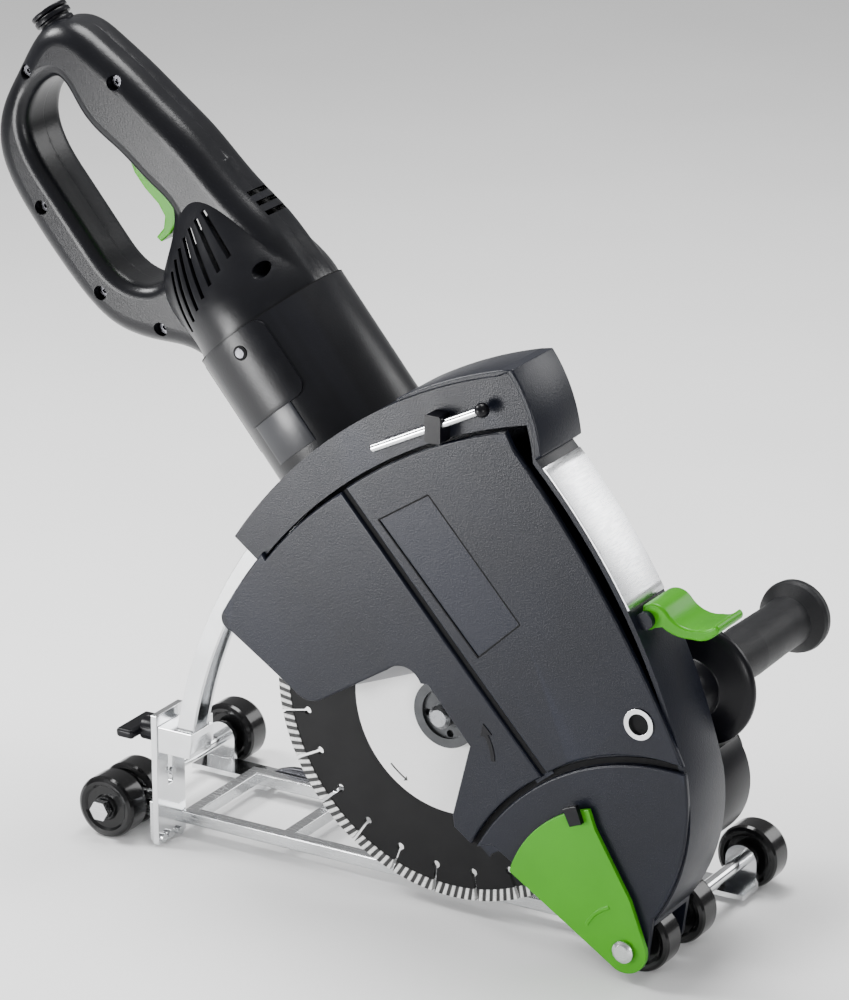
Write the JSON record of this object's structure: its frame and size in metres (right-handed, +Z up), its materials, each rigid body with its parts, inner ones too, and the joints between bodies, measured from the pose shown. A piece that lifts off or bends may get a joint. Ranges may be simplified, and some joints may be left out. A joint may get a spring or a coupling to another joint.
{
  "type": "wall chaser",
  "caption": "Hand-held wall chaser: a hooded cutting disc and angled motor that plunge on a wheeled base frame with a curved guide rail.",
  "frame": {"origin": "on the ground under the centre of the whole machine's box, machine at rest with the disc raised", "axes": "+X forward towards the front handle, +Y away from the disc side, +Z up"},
  "size_m": [0.5137, 0.202, 0.4819],
  "materials": {
    "chrome_steel": "polished",
    "zinc_steel": "satin",
    "dark_screw": "black oxide",
    "roller_black": "glossy",
    "guard_plastic": "fine grain",
    "strip_silver": "satin",
    "dark_plastic": "semi-gloss",
    "grip_rubber": "matt",
    "green_plastic": "semi-gloss",
    "motor_plastic": "semi-gloss",
    "gear_alloy": "satin",
    "hard_steel": "ground",
    "bearing_steel": "polished",
    "lamination": "varnished",
    "copper": "drawn",
    "blade_steel": "satin",
    "diamond_rim": "rough",
    "label_white": "printed, blank",
    "flange_grey": "satin",
    "fan_plastic": "moulded",
    "plate_foil": "satin, blank"
  },
  "bodies": {
    "base": {"base_frame": "zinc_steel", "upright_plate": "chrome_steel", "arc_rail": "chrome_steel", "rail_clamp": "chrome_steel", "near_brackets": "zinc_steel", "far_brackets": "chrome_steel", "frame_stay": "dark_screw", "rear_axle": "chrome_steel", "front_axle": "chrome_steel", "base_fasteners": "zinc_steel"},
    "tool": {"guard_shell": "guard_plastic", "upper_cover": "guard_plastic", "wing_cover": "guard_plastic", "nose_cover": "guard_plastic", "rim_strip": "strip_silver", "hood_cap": "guard_plastic", "key_clip": "dark_plastic", "hinge_pins": "hard_steel", "dust_port": "dark_plastic", "handle_bolt": "chrome_steel", "hand_guard": "dark_plastic", "aux_grip": "grip_rubber", "gear_housing": "gear_alloy", "gear_cover": "gear_alloy", "bearings": "bearing_steel", "motor_housing": "motor_plastic", "stator": "lamination", "brush_gear": "copper", "brush_cover": "motor_plastic", "plates": "plate_foil", "handle_shell_near": "motor_plastic", "handle_shell_far": "motor_plastic", "switch_block": "fan_plastic", "inlet_gland": "dark_plastic", "handle_screws": "dark_screw"},
    "blade": {"spindle": "hard_steel", "crown_gear": "hard_steel", "blade_core": "blade_steel", "blade_segments": "diamond_rim", "blade_label": "label_white", "inner_flange": "flange_grey", "outer_flange": "flange_grey"},
    "armature": {"armature_shaft": "hard_steel", "armature_core": "lamination", "commutator": "copper", "fan": "fan_plastic", "pinion": "hard_steel"},
    "flap": {"green_flap": "green_plastic", "flap_clip": "dark_plastic"},
    "lever": {"green_lever": "green_plastic"},
    "trigger": {"trigger": "green_plastic"},
    "key": {"hex_key": "chrome_steel", "key_ball": "dark_plastic"},
    "knob": {"clamp_knob": "dark_plastic"},
    "wheel_rear_near_a": {"roller_rear_near_a": "roller_black"},
    "wheel_rear_near_b": {"roller_rear_near_b": "roller_black"},
    "wheel_rear_far": {"roller_rear_far": "roller_black"},
    "wheel_front_near_a": {"roller_front_near_a": "roller_black"},
    "wheel_front_near_b": {"roller_front_near_b": "roller_black"},
    "wheel_front_far": {"roller_front_far": "roller_black"}
  },
  "joints": [
    {"name": "plunge", "type": "hinge", "parent": "base", "child": "tool", "pos_m": [0.2107, -0.064, 0.0192], "axis": [0, -1, 0], "range_deg": [0, 25]},
    {"name": "blade_spin", "type": "hinge", "parent": "tool", "child": "blade", "pos_m": [0.0807, -0.064, 0.1242], "axis": [0, 1, 0], "continuous": true},
    {"name": "armature_spin", "type": "hinge", "parent": "tool", "child": "armature", "pos_m": [0.01682, -0.0025, 0.20114], "axis": [-0.6388, 0, 0.7694], "continuous": true},
    {"name": "flap_swing", "type": "hinge", "parent": "tool", "child": "flap", "pos_m": [0.2107, -0.095, 0.0192], "axis": [0, 1, 0], "range_deg": [0, 25]},
    {"name": "lever_lift", "type": "hinge", "parent": "tool", "child": "lever", "pos_m": [0.2137, -0.067, 0.2115], "axis": [0, -1, 0], "range_deg": [0, 25]},
    {"name": "trigger_press", "type": "hinge", "parent": "tool", "child": "trigger", "pos_m": [-0.16206, -0.0025, 0.40095], "axis": [0, -1, 0], "range_deg": [0, 5], "stiffness_Nm_per_rad": 0.6},
    {"name": "key_slide", "type": "slide", "parent": "tool", "child": "key", "axis": [0.8964, 0, 0.4433], "range_m": [0, 0.05]},
    {"name": "knob_turn", "type": "hinge", "parent": "base", "child": "knob", "pos_m": [-0.1293, -0.063, 0.068], "axis": [1, 0, 0], "range_deg": [-180, 180]},
    {"name": "spin_rear_near_a", "type": "hinge", "parent": "base", "child": "wheel_rear_near_a", "pos_m": [-0.1469, -0.0731, 0.0192], "axis": [0, 1, 0], "continuous": true},
    {"name": "spin_rear_near_b", "type": "hinge", "parent": "base", "child": "wheel_rear_near_b", "pos_m": [-0.1469, -0.0495, 0.0192], "axis": [0, 1, 0], "continuous": true},
    {"name": "spin_rear_far", "type": "hinge", "parent": "base", "child": "wheel_rear_far", "pos_m": [-0.1469, 0.0575, 0.0192], "axis": [0, 1, 0], "continuous": true},
    {"name": "spin_front_near_a", "type": "hinge", "parent": "base", "child": "wheel_front_near_a", "pos_m": [0.2107, -0.0731, 0.0192], "axis": [0, 1, 0], "continuous": true},
    {"name": "spin_front_near_b", "type": "hinge", "parent": "base", "child": "wheel_front_near_b", "pos_m": [0.2107, -0.0305, 0.0192], "axis": [0, 1, 0], "continuous": true},
    {"name": "spin_front_far", "type": "hinge", "parent": "base", "child": "wheel_front_far", "pos_m": [0.2107, 0.0575, 0.0192], "axis": [0, 1, 0], "continuous": true}
  ],
  "couplings": [
    {"joint": "armature_spin", "follows": "blade_spin", "ratio": 3.3333}
  ]
}
